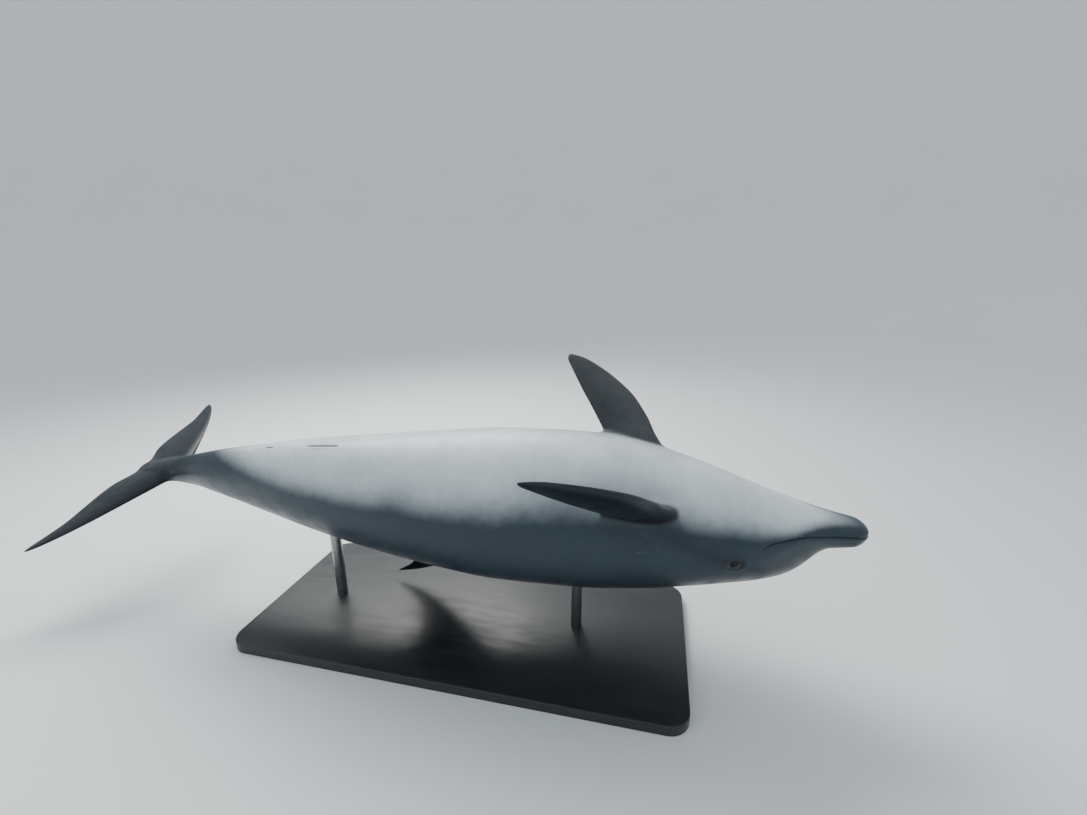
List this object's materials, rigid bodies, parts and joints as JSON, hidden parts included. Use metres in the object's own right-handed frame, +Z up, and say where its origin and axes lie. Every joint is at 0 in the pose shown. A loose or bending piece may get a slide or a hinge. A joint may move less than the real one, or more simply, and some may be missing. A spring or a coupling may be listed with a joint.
{
  "type": "bottlenose dolphin",
  "caption": "Life-size adult bottlenose dolphin swimming on its back, belly up, held by short rods on a flat display base.",
  "frame": {"origin": "centre of the display base's underside, on the floor", "axes": "+X toward the animal's snout, +Z up, the animal's left side toward -Y; the animal lies belly up"},
  "size_m": [2.5864, 0.8608, 0.8634],
  "materials": {
    "skin_grey": "smooth satin skin, grey flank and pale belly",
    "skin_dark": "smooth satin skin, dark slate grey",
    "eye": "polished, near black",
    "base_paint": "painted board, dark grey satin",
    "rod_steel": "brushed"
  },
  "bodies": {
    "root": {"head": "skin_grey", "lower_jaw": "skin_grey", "neck": "skin_grey", "chest": "skin_grey", "abdomen": "skin_grey", "tail_stock": "skin_grey", "dorsal_fin": "skin_dark", "flipper_left": "skin_dark", "flipper_right": "skin_dark", "fluke_left": "skin_dark", "fluke_right": "skin_dark", "eye_left": "eye", "eye_right": "eye", "stand_base": "base_paint", "stand_rod_front": "rod_steel", "stand_rod_rear": "rod_steel"}
  },
  "joints": []
}
